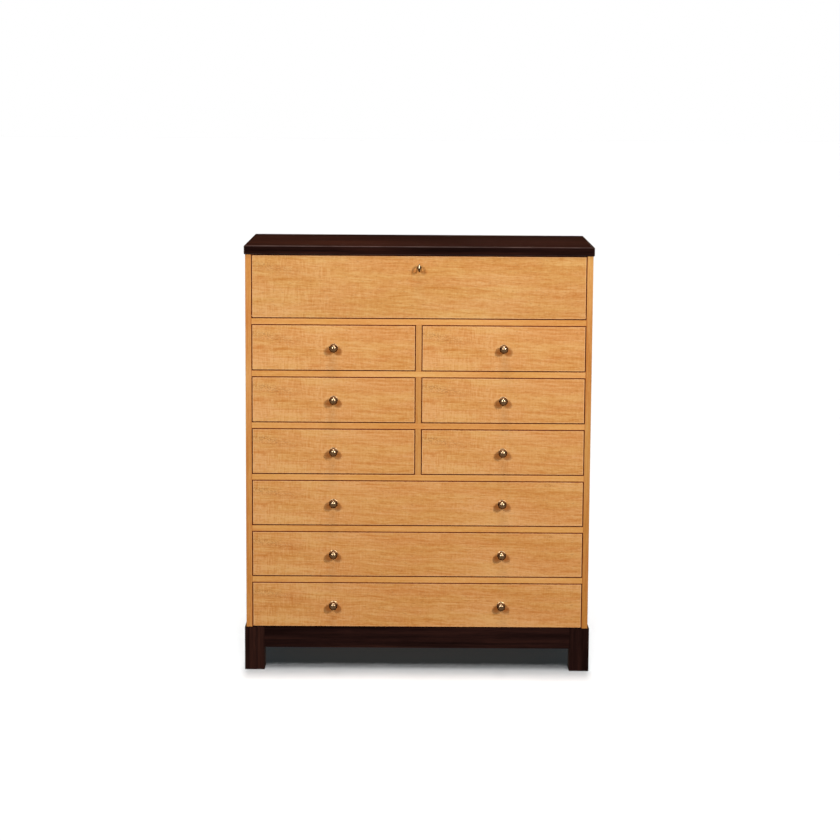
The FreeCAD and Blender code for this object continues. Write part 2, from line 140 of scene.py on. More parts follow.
def boardSpace(tree, along, origin=(0.0, 0.0, 0.0), leaf=0.0):
    # coordinates of the board in metres: X along the grain, Y across it, Z through the log
    coords = addNode(tree, "ShaderNodeTexCoord").outputs["Object"]
    parts = addNode(tree, "ShaderNodeSeparateXYZ", {0: coords}).outputs
    order = {"x": (0, 2, 1), "z": (2, 0, 1), "y": (1, 0, 2)}[along]
    offsets = [-origin[index] for index in order]
    offsets[2] += leaf
    turned = addNode(tree, "ShaderNodeCombineXYZ", {
        0: parts[order[0]], 1: parts[order[1]], 2: parts[order[2]]}).outputs[0]
    space = addNode(tree, "ShaderNodeVectorMath", {0: turned, 1: offsets}, operation="ADD").outputs[0]
    return space, parts


def edgeNearness(tree, parts, low, high, axes, width):
    # 1 at the edges of the board's face, 0 further in than width
    gaps = []
    for axis in axes:
        gaps.append(calc(tree, "SUBTRACT", parts[axis], low[axis]))
        gaps.append(calc(tree, "SUBTRACT", high[axis], parts[axis]))
    nearest = gaps[0]
    for gap in gaps[1:]:
        nearest = calc(tree, "MINIMUM", nearest, gap)
    return remap(tree, nearest, 0.0, width, 1.0, 0.0)


def arrisNearness(tree, parts, low, high, width):
    # 1 along the twelve edges of a box, 0 on its faces further in than width
    gaps = []
    for axis in range(3):
        fromLow = calc(tree, "SUBTRACT", parts[axis], low[axis])
        fromHigh = calc(tree, "SUBTRACT", high[axis], parts[axis])
        gaps.append(calc(tree, "MINIMUM", fromLow, fromHigh))
    smaller = calc(tree, "MINIMUM", gaps[0], gaps[1])
    larger = calc(tree, "MAXIMUM", gaps[0], gaps[1])
    middle = calc(tree, "MAXIMUM", smaller, calc(tree, "MINIMUM", larger, gaps[2]))
    return remap(tree, middle, 0.0, width, 1.0, 0.0)


def endMaterial(tree, shader):
    addNode(tree, "ShaderNodeOutputMaterial", {0: shader.outputs[0]})


def tinted(stops, tint):
    # the stops of a ramp with each colour multiplied by tint
    return [(place, tuple(channel * share for channel, share in zip(colour, tint)))
            for place, colour in stops]


def finishWood(tree, colour, roughness, height, look, strength):
    # look holds how shiny the wood is and how deep the relief of its grain lies
    bump = addNode(tree, "ShaderNodeBump", {
        "Strength": strength, "Distance": look["relief"], "Height": height})
    shader = addNode(tree, "ShaderNodeBsdfPrincipled", {
        "Base Color": colour, "Roughness": roughness, "Normal": bump.outputs[0],
        "Specular IOR Level": look["specular"],
    })
    endMaterial(tree, shader)


def dress(nodeNames, material):
    for name in nodeNames:
        mesh = nodes[name].data
        mesh.materials.clear()
        mesh.materials.append(material)


# honey-coloured wood of the case and fronts

honeyLook = {
    "dark": (0.492, 0.186, 0.038),
    "middle": (0.580, 0.268, 0.080),
    "light": (0.652, 0.348, 0.130),
    "rosy": (1.008, 0.984, 1.024),               # the two leanings of the colour, as multipliers
    "golden": (0.992, 1.010, 0.960),
    "fleck": (0.250, 0.085, 0.020),
    "wideFront": 0.8,
    "cluster": (0.108, 0.011, 0.020, 0.007),     # in from the right, down, and its reach both ways
    # lighter band along the edges: rubbed wear and a painted highlight
    "wornAndLit": (0.800, 0.470, 0.220),
    "gap": (0.060, 0.010, 0.004),                # painted shade on the wood that lies in the shut gaps
    "edge": (0.200, 0.075, 0.020),
    "wearAndHighlightWidth": 5.0 * millimetre,
    "wearAndHighlight": 0.55,
    # painted shade along the arrises next to the gaps
    "arris": 1.05 * millimetre,
    "arrisTone": (0.280, 0.042, 0.006),
    "gapShadeDepth": (6.0 * millimetre, 11.0 * millimetre),   # a front's edges take painted gap shade this far back
    "reveal": 2.2 * millimetre,
    "fittingShadowTint": (0.80, 0.50, 0.24),
    "knobShadowShare": 0.75,
    "keyShadowShare": 0.30,                            # painted shadow, fainter round the key
    "fittingShadowOut": 15.0 * millimetre,             # painted shadows lie this far to both sides of a knob
    "fittingShadowDrop": 12.0 * millimetre,
    "fittingShadowReach": 17.0 * millimetre,
    "tints": {"left": (0.93, 0.88, 0.78), "right": (0.94, 0.96, 0.87), "rightFoot": (0.80, 0.64, 0.45),
              "rail": (1.05, 1.06, 0.98), "divider": (0.92, 0.93, 0.88), "fall": (0.93, 0.95, 0.92),
              "low": (0.99, 0.970, 0.950)},
    "lowAfter": 4,                               # drawers below this row take the tint "low"
    # how strongly each part of the grain shows, on the fronts and on the straight boards
    "figure": {"bands": 1.05, "streaks": 1.65, "fibres": 0.60, "mottle": 0.70, "drift": 0.85,
               "ripple": 1.25, "growth": -0.34, "fleck": 0.60},
    "straight": {"bands": 0.8, "streaks": 0.9, "mottle": 0.6, "drift": 0.9},
    "roughness": (0.50, 0.38),                   # of the dark and of the light grain
    "specular": 0.22,
    "relief": 0.6 * millimetre,
}


def centred(tree, value, gain, base):
    # adds gain times the value's swing about its middle to base
    return calc(tree, "MULTIPLY_ADD", calc(tree, "SUBTRACT", value, 0.5), gain, base)


def honeyColour(tree, space, tone, look, tint=(1.0, 1.0, 1.0)):
    stops = [(0.05, look["dark"]), (0.5, look["middle"]), (0.95, look["light"])]
    colour = ramp(tree, tone, tinted(stops, tint))
    lean = remap(tree, noise(tree, space, (6.0, 26.0, 14.0), 2.0), 0.34, 0.66)
    leaning = mixColour(tree, lean, (*look["golden"], 1.0), (*look["rosy"], 1.0))
    return mixColour(tree, 1.0, colour, leaning, "MULTIPLY")


def figuredVeneer(tree, space, look, tint, knots=()):
    # grain runs along the board and dips gently towards the right
    gains = look["figure"]
    along = addNode(tree, "ShaderNodeSeparateXYZ", {0: space}).outputs
    sway = noise(tree, space, (2.6, 7.0, 3.0), 2.0)
    lift = centred(tree, sway, 0.034, 0.0)
    lift = calc(tree, "MULTIPLY_ADD", along[0], 0.045, lift)
    bent = addNode(tree, "ShaderNodeVectorMath", {
        0: space, 1: addNode(tree, "ShaderNodeCombineXYZ", {1: lift}).outputs[0]}, operation="ADD").outputs[0]
    bands = noise(tree, bent, (2.2, 60.0, 20.0), 3.0, 0.55)
    streaks = noise(tree, bent, (20.0, 210.0, 60.0), 3.0, 0.62)
    fibres = noise(tree, bent, (70.0, 1500.0, 60.0), 2.0, 0.7)
    mottle = noise(tree, space, (120.0, 150.0, 70.0), 2.0, 0.55)
    drift = noise(tree, space, (3.2, 9.0, 4.0), 2.0)

    # fiddleback: short upright ripples that come and go, strongest near the left end
    ripple = noise(tree, space, (250.0, 30.0, 30.0), 1.0, 0.5, 0.15)
    patches = noise(tree, space, (14.0, 30.0, 9.0), 2.0)
    leftward = remap(tree, along[0], 0.10, 0.45, 1.0, 0.40)
    rippled = calc(tree, "MULTIPLY", remap(tree, patches, 0.30, 0.62, 0.35, 1.0), leftward)

    tone = centred(tree, bands, gains["bands"], 0.5)
    tone = centred(tree, streaks, gains["streaks"], tone)
    tone = centred(tree, fibres, gains["fibres"], tone)
    tone = centred(tree, mottle, gains["mottle"], tone)
    tone = centred(tree, drift, gains["drift"], tone)
    rippleTone = calc(tree, "MULTIPLY", calc(tree, "SUBTRACT", ripple, 0.5), rippled)
    tone = calc(tree, "MULTIPLY_ADD", rippleTone, gains["ripple"], tone)
    tone = calc(tree, "MULTIPLY_ADD", leftward, 0.22, calc(tree, "SUBTRACT", tone, 0.06))

    # a few fine growth lines follow the contours of the bent grain
    rings = noise(tree, bent, (0.9, 15.0, 6.0), 1.0, 0.4)
    fraction = calc(tree, "FRACT", calc(tree, "MULTIPLY", rings, 9.0))
    contour = calc(tree, "ABSOLUTE", calc(tree, "SUBTRACT", fraction, 0.5))
    broken = remap(tree, noise(tree, space, (9.0, 40.0, 9.0), 2.0), 0.42, 0.62)
    growth = calc(tree, "MULTIPLY", remap(tree, contour, 0.0, 0.055, 1.0, 0.0), broken)
    tone = calc(tree, "MULTIPLY_ADD", growth, gains["growth"], tone)
    colour = honeyColour(tree, space, tone, look, tint)

    # dark flecks in a slanting drift below the upper left corner of each leaf
    slant = calc(tree, "MULTIPLY_ADD", along[0], 0.16, along[1])
    inDrift = calc(tree, "MULTIPLY", remap(tree, slant, -0.052, -0.026), remap(tree, slant, -0.012, -0.022))
    inDrift = calc(tree, "MULTIPLY", inDrift, remap(tree, along[0], 0.20, 0.06))
    dashes = noise(tree, space, (170.0, 420.0, 40.0), 1.0, 0.5)
    sparse = noise(tree, space, (95.0, 330.0, 25.0), 1.0, 0.5)
    few = calc(tree, "MULTIPLY", remap(tree, sparse, 0.60, 0.72), 0.45)
    for x, y, reachX, reachY in knots:
        across = calc(tree, "DIVIDE", calc(tree, "SUBTRACT", along[0], x), reachX)
        up = calc(tree, "DIVIDE", calc(tree, "SUBTRACT", along[1], y), reachY)
        away = calc(tree, "MULTIPLY_ADD", across, across, calc(tree, "MULTIPLY", up, up))
        inDrift = calc(tree, "MAXIMUM", inDrift, remap(tree, away, 0.3, 1.0, 0.9, 0.0))
    many = calc(tree, "MULTIPLY", remap(tree, dashes, 0.48, 0.62), inDrift)
    fleck = calc(tree, "MAXIMUM", calc(tree, "MULTIPLY", many, 0.80), few)
    colour = mixColour(tree, calc(tree, "MULTIPLY", fleck, gains["fleck"]), colour, (*look["fleck"], 1.0))
    return colour, tone


def paintFittingShadows(tree, parts, colour, places, look, strength):
    # painted shadows darken the wood a little below and to both sides of each knob and of the key
    for x, z in places:
        out = calc(tree, "ABSOLUTE", calc(tree, "SUBTRACT", parts[0], x))
        sideways = calc(tree, "SUBTRACT", out, look["fittingShadowOut"])
        down = calc(tree, "SUBTRACT", parts[2], z - look["fittingShadowDrop"])
        squared = calc(tree, "MULTIPLY_ADD", sideways, sideways, calc(tree, "MULTIPLY", down, down))
        reach = calc(tree, "SQRT", squared)
        share = remap(tree, reach, look["fittingShadowReach"] * 0.25, look["fittingShadowReach"], strength, 0.0)
        colour = mixColour(tree, share, colour, (*look["fittingShadowTint"], 1.0), "MULTIPLY")
    return colour


def veneeredBoard(name, low, high, leaf, look, places=(), tint=(1.0, 1.0, 1.0)):
    # a front: figured leaf on its face, straight-grained lipping round it, plain wood behind
    material, tree = newMaterial(name)
    origin = (low.x, 0.0, high.z)
    space, parts = boardSpace(tree, "x", origin, leaf)
    # wide fronts hold a cluster of small flecks near their upper right corner
    width = high.x - low.x
    right, drop, reachX, reachY = look["cluster"]
    isFall = name == "veneerFall"
    wide = width > look["wideFront"] and not isFall
    knots = [(width - right, -drop, reachX, reachY)] if wide else []
    colour, tone = figuredVeneer(tree, space, look, tint, knots)
    # strength of the painted shadows beside the knobs, fainter beside the key
    strength = look["keyShadowShare"] if isFall else look["knobShadowShare"]
    colour = paintFittingShadows(tree, parts, colour, places, look, strength)

    # the face is lighter along its edges, partly rubbed wear and partly a painted highlight of the eased
    # edge, and its arris takes painted shade from the gap
    near = edgeNearness(tree, parts, low, high, (0, 2), look["wearAndHighlightWidth"])
    broken = remap(tree, noise(tree, space, (35.0, 35.0, 35.0), 3.0), 0.35, 0.65, 0.35, 1.0)
    wearAndHighlight = calc(tree, "MULTIPLY", calc(tree, "MULTIPLY", near, broken), look["wearAndHighlight"])
    colour = mixColour(tree, wearAndHighlight, colour, (*look["wornAndLit"], 1.0))
    # the arris takes painted shade from the gap
    arris = edgeNearness(tree, parts, low, high, (0, 2), look["arris"])
    colour = mixColour(tree, remap(tree, arris, 0.0, 0.45), colour, (*look["arrisTone"], 1.0))

    plain = noise(tree, space, (6.0, 260.0, 260.0), 3.0)
    lipping = mixColour(tree, remap(tree, plain, 0.3, 0.7), (*look["edge"], 1.0), (*look["dark"], 1.0))
    # near the face the lipping takes painted shade from the gap
    start, end = look["gapShadeDepth"]
    shaded = remap(tree, parts[1], low.y + start, low.y + end, 0.93, 0.0)
    lipping = mixColour(tree, shaded, lipping, (*look["gap"], 1.0))
    behind = remap(tree, parts[1], low.y + 0.5 * millimetre, low.y + 0.9 * millimetre)
    colour = mixColour(tree, behind, colour, lipping)
    back = remap(tree, parts[1], high.y - 0.4 * millimetre, high.y - 0.1 * millimetre)
    colour = mixColour(tree, back, colour, insideTone(tree, space))
    roughness = remap(tree, tone, 0.1, 0.9, *look["roughness"])
    roughness = calc(tree, "MAXIMUM", roughness, calc(tree, "MAXIMUM", behind, arris))
    finishWood(tree, colour, roughness, tone, look, 0.10)
    return material


def railEdge(tree, parts, look):
    # 1 at the edges of the rails, which lie one row apart from each other
    first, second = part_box("drawer_1_left_front"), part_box("drawer_2_left_front")
    pitch = first[0].z - second[0].z
    middle = (first[0].z + second[1].z) / 2.0
    halfRail = (first[0].z - second[1].z) / 2.0 - look["reveal"]
    rows = calc(tree, "DIVIDE", calc(tree, "SUBTRACT", parts[2], middle - pitch * 20.5), pitch)
    away = calc(tree, "ABSOLUTE", calc(tree, "SUBTRACT", calc(tree, "FRACT", rows), 0.5))
    inside = calc(tree, "MULTIPLY_ADD", away, -pitch, halfRail)
    return remap(tree, inside, 0.0, look["arris"], 1.0, 0.0)


def straightBoard(name, along, look, seed, tint=(1.0, 1.0, 1.0), innerX=None, innerSign=1.0, footTint=None,
                  edges=None, swing=1.0):
    # straight-grained front edges of the case; what lies behind them in the gaps has painted shade, then
    # plain wood
    material, tree = newMaterial(name)
    space, parts = boardSpace(tree, along, (seed, -seed, seed * 0.5))
    bands = noise(tree, space, (1.6, 110.0, 110.0), 4.0, 0.6)
    streaks = noise(tree, space, (16.0, 300.0, 300.0), 3.0, 0.65)
    mottle = noise(tree, space, (110.0, 200.0, 200.0), 2.0, 0.6)
    drift = noise(tree, space, (2.5, 6.0, 6.0), 2.0)
    gains = look["straight"]
    tone = centred(tree, bands, gains["bands"] * swing, 0.5)
    tone = centred(tree, streaks, gains["streaks"] * swing, tone)
    tone = centred(tree, mottle, gains["mottle"], tone)
    tone = centred(tree, drift, gains["drift"] * swing, tone)
    colour = honeyColour(tree, space, tone, look, tint)
    if footTint:
        # the board is darker towards the foot
        down = remap(tree, parts[2], sideHigh.z, sideLow.z)
        colour = mixColour(tree, down, colour, (*footTint, 1.0), "MULTIPLY")
    # the arrises next to the gaps take painted shade
    if edges:
        if edges == "rail":
            arris = railEdge(tree, parts, look)
        else:
            arris = edgeNearness(tree, parts, *edges, (0,), look["arris"])
        colour = mixColour(tree, remap(tree, arris, 0.0, 0.45), colour, (*look["arrisTone"], 1.0))
    plain = insideTone(tree, space)
    # faces inside the gaps take painted shade, and further back plain wood
    gapShadeMask = remap(tree, parts[1], frontY + 0.3 * millimetre, frontY + 0.6 * millimetre)
    pastGap = remap(tree, parts[1], frontBackY + 1.0 * millimetre, frontBackY + 6.0 * millimetre)
    if innerX is not None:
        # only the board's inner face is plain; its outer face and edges stay veneered
        past = calc(tree, "MULTIPLY", calc(tree, "SUBTRACT", parts[0], innerX), innerSign)
        inward = remap(tree, past, 0.0, 0.3 * millimetre, 1.0, 0.0)
        # its arris by the gap takes painted shade
        arris = remap(tree, past, 0.0, look["arris"], 1.0, 0.0)
        colour = mixColour(tree, remap(tree, arris, 0.0, 0.45), colour, (*look["arrisTone"], 1.0))
        gapShadeMask = calc(tree, "MULTIPLY", gapShadeMask, inward)
        plainShare = calc(tree, "MULTIPLY", pastGap, inward)
    else:
        plainShare = pastGap
    colour = mixColour(tree, gapShadeMask, colour, (*look["gap"], 1.0))
    colour = mixColour(tree, plainShare, colour, plain)
    roughness = calc(tree, "MAXIMUM", remap(tree, tone, 0.1, 0.9, *look["roughness"]), gapShadeMask)
    finishWood(tree, colour, roughness, tone, look, 0.12)
    return material


# plain sealed wood of the drawer boxes and frames

insideLook = {
    "dark": (0.430, 0.262, 0.122),
    "light": (0.640, 0.440, 0.235),
    "roughness": (0.62, 0.50),
    "specular": 0.30,
    "relief": 0.4 * millimetre,
}


def insideTone(tree, space):
    growth = noise(tree, space, (1.8, 60.0, 60.0), 4.0, 0.6)
    pores = noise(tree, space, (22.0, 900.0, 900.0), 2.0, 0.6)
    tone = calc(tree, "MULTIPLY_ADD", calc(tree, "SUBTRACT", pores, 0.5), 0.35, growth)
    return ramp(tree, tone, [(0.25, insideLook["dark"]), (0.72, insideLook["light"])])


def insideWood(name, along, seed):
    material, tree = newMaterial(name)
    space = boardSpace(tree, along, (seed, seed * 0.7, -seed))[0]
    pores = noise(tree, space, (22.0, 900.0, 900.0), 2.0, 0.6)
    roughness = remap(tree, pores, 0.3, 0.7, *insideLook["roughness"])
    finishWood(tree, insideTone(tree, space), roughness, pores, insideLook, 0.15)
    return material


# espresso-stained slab and plinth

espressoLook = {
    "black": (0.0042, 0.0012, 0.0009),
    "brown": (0.0108, 0.0032, 0.0023),
    "red": (0.0230, 0.0065, 0.0040),
    # arrises: rubbed wear and a painted highlight
    "wornAndLit": (0.1180, 0.0740, 0.0650),
    "wearAndHighlightWidth": 4.2 * millimetre,
    "wearAndHighlight": 0.90,
    "paintedTopLight": (2.10, 2.15, 1.80),                 # painted light on the top, as a multiplier
    "slab": (1.15, 1.15, 1.15),                  # how far the stain is lifted on each piece
    "apron": (1.38, 1.66, 1.85),
    "leg": (1.60, 1.95, 2.10),
    "figure": {"bands": 1.45, "pores": 0.80, "drift": 0.80},
    "roughness": (0.66, 0.54),
    "specular": 0.015,
    "relief": 0.5 * millimetre,
}


def espressoWood(name, along, seed, box, look, lift):
    material, tree = newMaterial(name)
    space, parts = boardSpace(tree, along, (seed, seed * 1.3, -seed))
    bands = noise(tree, space, (2.4, 75.0, 75.0), 4.0, 0.62, 0.2)
    pores = noise(tree, space, (26.0, 900.0, 900.0), 2.0, 0.6)
    drift = noise(tree, space, (2.0, 7.0, 7.0), 2.0)
    gains = look["figure"]
    tone = centred(tree, bands, gains["bands"], 0.47)
    tone = centred(tree, pores, gains["pores"], tone)
    tone = centred(tree, drift, gains["drift"], tone)
    stops = [(0.15, look["black"]), (0.5, look["brown"]), (0.9, look["red"])]
    colour = ramp(tree, tone, tinted(stops, lift))
    if box:
        # the top face is lifted by painted light from above
        paintedTopLight = remap(tree, parts[2], box[1].z - 0.8 * millimetre, box[1].z - 0.1 * millimetre)
        colour = mixColour(tree, paintedTopLight, colour, (*look["paintedTopLight"], 1.0), "MULTIPLY")
        # the arrises are lighter, partly rubbed through the stain and partly a painted highlight
        near = arrisNearness(tree, parts, *box, look["wearAndHighlightWidth"])
        broken = remap(tree, noise(tree, space, (14.0, 60.0, 60.0), 3.0), 0.30, 0.70, 0.5, 1.0)
        wearAndHighlight = calc(tree, "MULTIPLY", calc(tree, "MULTIPLY", near, broken), look["wearAndHighlight"])
        colour = mixColour(tree, wearAndHighlight, colour, (*look["wornAndLit"], 1.0))
    roughness = remap(tree, pores, 0.3, 0.7, *look["roughness"])
    finishWood(tree, colour, roughness, pores, look, 0.18)
    return material


# aged brass of the knobs, key and fittings

brassLook = {
    "bright": (0.430, 0.305, 0.180),
    "aged": (0.270, 0.165, 0.085),
    # grime in specks, and also the painted shade on the knobs' rims and the key's lower half
    "grimeAndShade": (0.042, 0.013, 0.003),
    "grazing": (0.300, 0.160, 0.080),            # tint of the metal seen at a slant
    "key": (0.940, 0.800, 0.520),                # the key is the palest brass
    "rose": (0.84, 0.80, 0.74),                  # the rose's tone beside the ball's
    "roseDulling": 0.12,
    "roughness": 0.26,
    "patinaAndShadeFront": 9.3 * millimetre,             # in front of the ball's centre, where the patina and painted rim shade start
    "patinaAndShadeFull": 5.0 * millimetre,
    "reflectionTopLean": (0.30, 0.70),                   # lean of the surface left bright as a painted reflection from above
    "roseDepth": 4.2 * millimetre,               # the rose, this far before the face, keeps its shine
    # lift makes both tones brighter or darker
    "fittings": {"roughness": 0.44, "lift": 1.5},
    "plate": {"roughness": 0.30, "lift": 0.55},
    "keyRoughness": 0.40,
    # painted shade deepens from the first height to the second, both measured from the key's middle
    "keyShadeHeights": (1.0 * millimetre, -2.5 * millimetre),
}


def agedBrass(name, look, roughness, patinaAndShade=None, lift=1.0, shadeBelow=None):
    material, tree = newMaterial(name)
    space, parts = boardSpace(tree, "x")
    cloud = noise(tree, space, (190.0, 190.0, 190.0), 4.0, 0.6)
    specks = noise(tree, space, (1500.0, 1500.0, 1500.0), 2.0, 0.5)
    bright = tuple(channel * lift for channel in look["bright"])
    aged = tuple(channel * lift for channel in look["aged"])
    colour = mixColour(tree, remap(tree, cloud, 0.30, 0.72), (*bright, 1.0), (*aged, 1.0))
    spots = calc(tree, "MULTIPLY", remap(tree, specks, 0.62, 0.72), 0.5)
    colour = mixColour(tree, spots, colour, (*look["grimeAndShade"], 1.0))
    shine = remap(tree, cloud, 0.3, 0.7, roughness, roughness + 0.10)
    if patinaAndShade:
        # the front of the ball stays bright, and behind it the brass is browned, partly tarnish and partly
        # painted shade on the rim; brass facing upwards is left bright as a painted reflection
        start, full = patinaAndShade
        rimPatinaAndShade = remap(tree, parts[1], start, full)
        rose = remap(tree, parts[1], frontY - look["roseDepth"], frontY - look["roseDepth"] * 0.8)
        facing = addNode(tree, "ShaderNodeNewGeometry").outputs["Normal"]
        upward = addNode(tree, "ShaderNodeSeparateXYZ", {0: facing}).outputs[2]
        paintedTopReflection = remap(tree, upward, *look["reflectionTopLean"])
        rimPatinaAndShade = calc(tree, "MULTIPLY", rimPatinaAndShade, calc(tree, "SUBTRACT", 1.0, paintedTopReflection))
        rimPatinaAndShade = calc(tree, "MULTIPLY", rimPatinaAndShade, calc(tree, "SUBTRACT", 1.0, rose))
        colour = mixColour(tree, rimPatinaAndShade, colour, (*look["grimeAndShade"], 1.0))
        colour = mixColour(tree, rose, colour, (*look["rose"], 1.0), "MULTIPLY")
        shine = calc(tree, "MULTIPLY_ADD", rimPatinaAndShade, 0.20, shine)
        shine = calc(tree, "MULTIPLY_ADD", rose, look["roseDulling"], shine)
    if shadeBelow:
        # painted shade darkens the lower half
        start, full = shadeBelow
        colour = mixColour(tree, remap(tree, parts[2], start, full, 0.0, 0.9), colour, (*look["grimeAndShade"], 1.0))
    bump = addNode(tree, "ShaderNodeBump", {"Strength": 0.08, "Distance": 0.2 * millimetre, "Height": cloud})
    shader = addNode(tree, "ShaderNodeBsdfPrincipled", {
        "Base Color": colour, "Metallic": 1.0, "Roughness": shine, "Normal": bump.outputs[0],
        "Specular Tint": (*look["grazing"], 1.0)})
    endMaterial(tree, shader)
    return material


fittingFinish = agedBrass("fittingBrass", brassLook, **brassLook["fittings"])
plateFinish = agedBrass("plateBrass", brassLook, **brassLook["plate"])
keyLow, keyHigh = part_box("key")
keyMiddle = (keyLow.z + keyHigh.z) / 2.0
paleLook = dict(brassLook, bright=brassLook["key"], aged=tuple(0.8 * channel for channel in brassLook["key"]))
keyFinish = agedBrass("keyBrass", paleLook, brassLook["keyRoughness"],
                      shadeBelow=[keyMiddle + above for above in brassLook["keyShadeHeights"]])


# case, rails and fronts

leafStep = 0.0045                                # how far the figure moves on from one leaf to the next


def knobPlaces(drawerName):
    # (x, z) of the knobs of one drawer
    nodeName = drawerName + "_knob"
    if nodeName in nodes:
        low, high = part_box(nodeName)
        return [((low.x + high.x) / 2.0, (low.z + high.z) / 2.0)]
    low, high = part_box(drawerName + "_knobs")
    half = (high.z - low.z) / 2.0
    return [(low.x + half, low.z + half), (high.x - half, low.z + half)]


def dressFronts():
    keyX = (keyLow.x + keyHigh.x) / 2.0
    dress(["fall_front"], veneeredBoard("veneerFall", fallLow, fallHigh, 0.0, honeyLook, [(keyX, keyMiddle)],
                                        honeyLook["tints"]["fall"]))
    for nodeName in sorted(nodes):
        if nodeName.startswith("drawer_") and nodeName.endswith("_front"):
            low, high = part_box(nodeName)
            drawerName = nodeName[:-len("_front")]
            row = int(drawerName.split("_")[1])
            shift = 0.5 if drawerName.endswith("right") else 0.0
            leaf = (row + shift) * leafStep
            places = knobPlaces(drawerName)
            tint = honeyLook["tints"]["low"] if row > honeyLook["lowAfter"] else (1.0, 1.0, 1.0)
            dress([nodeName], veneeredBoard("veneer." + drawerName, low, high, leaf, honeyLook, places, tint))


def dressCase():
    innerX = sideLow.x
    tints = honeyLook["tints"]
    dress(["side_panel_right"], straightBoard("sideRight", "z", honeyLook, 1.7, tints["right"],
                                              innerX, 1.0, tints["rightFoot"], swing=1.7))
    dress(["side_panel_left"], straightBoard("sideLeft", "z", honeyLook, 2.9, tints["left"],
                                             -innerX, -1.0, swing=1.7))
    dress(["front_rails"], straightBoard("railWood", "x", honeyLook, 4.1, tints["rail"], edges="rail"))
    dress(["drawer_dividers"], straightBoard("dividerWood", "z", honeyLook, 5.3, tints["divider"],
                                             edges=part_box("drawer_dividers")))
    dress(["compartment_floor"], straightBoard("compartmentFloor", "x", honeyLook, 6.1, tints["rail"]))
    frameWood = insideWood("frameWood", "x", 0.9)
    runnerWood = insideWood("runnerWood", "y", 1.9)
    dress(["back_panel"], insideWood("backWood", "z", 2.3))
    dress(["case_bottom", "top_cleats"], frameWood)
    dress(["runner_frames", "drawer_stops"], runnerWood)
    sideWood = insideWood("drawerSideWood", "y", 3.1)
    bottomWood = insideWood("drawerBottomWood", "x", 3.7)
    for nodeName in nodes:
        if nodeName.endswith("_box"):
            dress([nodeName], sideWood)
        if nodeName.endswith("_bottom") and nodeName != "case_bottom":
            dress([nodeName], bottomWood)


def dressDarkParts():
    look = espressoLook
    dress(["top_slab"], espressoWood("slabWood", "x", 0.4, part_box("top_slab"), look, look["slab"]))
    dress(["plinth_aprons"], espressoWood("apronWood", "x", 1.6, None, look, look["apron"]))
    dress(["plinth_legs"], espressoWood("legWood", "z", 2.2, None, look, look["leg"]))


def dressFittings():
    names = ["hinge_side_plates", "hinge_flap_plates", "stay_guides", "quadrant_stays", "strike_plate",
             "lock_case", "lock_bolt"]
    dress(names, fittingFinish)
    dress(["escutcheon"], plateFinish)
    dress(["key"], keyFinish)


dressFronts()
dressCase()
dressDarkParts()
dressFittings()
print("woods and fittings dressed")


# turned knobs

knobLook = {
    "segments": 64,
    "ballRadius": 12.5 * millimetre,
    "ballSteps": 30,
    "neckRadius": 3.9 * millimetre,
    "beadRadius": 5.4 * millimetre,
    "beadLength": 1.6 * millimetre,
    "roseRadius": 13.5 * millimetre,
    "roseLand": 7.6 * millimetre,                # radius of the flat middle of the coned rose
    "roseLength": 3.0 * millimetre,
    "roseEdge": 0.5 * millimetre,
    "coneSteps": 8,
    "coneBulge": 0.25,                           # how far the cone swells, as a share of its height
    "shankRadius": 2.0 * millimetre,
    "bevel": 0.5 * millimetre,
    "endBevel": 0.4 * millimetre,
}


def lathe(mesh, profile, x, z, segments):
    # profile runs along +Y as (y, radius) pairs; a radius of 0 closes the end
    rings = []
    for y, radius in profile:
        if radius <= 0.0:
            rings.append([mesh.verts.new((x, y, z))])
            continue
        ring = []
        for step in range(segments):
            turn = 2.0 * math.pi * step / segments
            ring.append(mesh.verts.new((x + radius * math.cos(turn), y, z + radius * math.sin(turn))))
        rings.append(ring)
    for first, second in zip(rings, rings[1:]):
        for step in range(segments):
            after = (step + 1) % segments
            if len(first) == 1:
                mesh.faces.new((first[0], second[after], second[step]))
            elif len(second) == 1:
                mesh.faces.new((first[step], first[after], second[0]))
            else:
                mesh.faces.new((first[step], first[after], second[after], second[step]))


def finishMesh(name, mesh, material, body, replaced, sharpAngle=40.0):
    bmesh.ops.recalc_face_normals(mesh, faces=mesh.faces)
    data = bpy.data.meshes.new(name)
    mesh.to_mesh(data)
    mesh.free()
    data.shade_smooth()
    data.set_sharp_from_angle(angle=math.radians(sharpAngle))
    data.materials.append(material)
    piece = bpy.data.objects.new(name, data)
    bpy.context.scene.collection.objects.link(piece)
    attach(piece, body)
    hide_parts(*replaced)


def bendRing(mesh, centre, radius, wire, segments, sides):
    # a ring of round wire, standing upright across X
    rings = []
    for step in range(segments):
        turn = 2.0 * math.pi * step / segments
        ring = []
        for side in range(sides):
            angle = 2.0 * math.pi * side / sides
            reach = radius + wire * math.cos(angle)
            place = (centre.x + wire * math.sin(angle), centre.y + reach * math.cos(turn),
                     centre.z + reach * math.sin(turn))
            ring.append(mesh.verts.new(place))
        rings.append(ring)
    for first, second in zip(rings, rings[1:] + rings[:1]):
        for side in range(sides):
            after = (side + 1) % sides
            mesh.faces.new((first[side], first[after], second[after], second[side]))


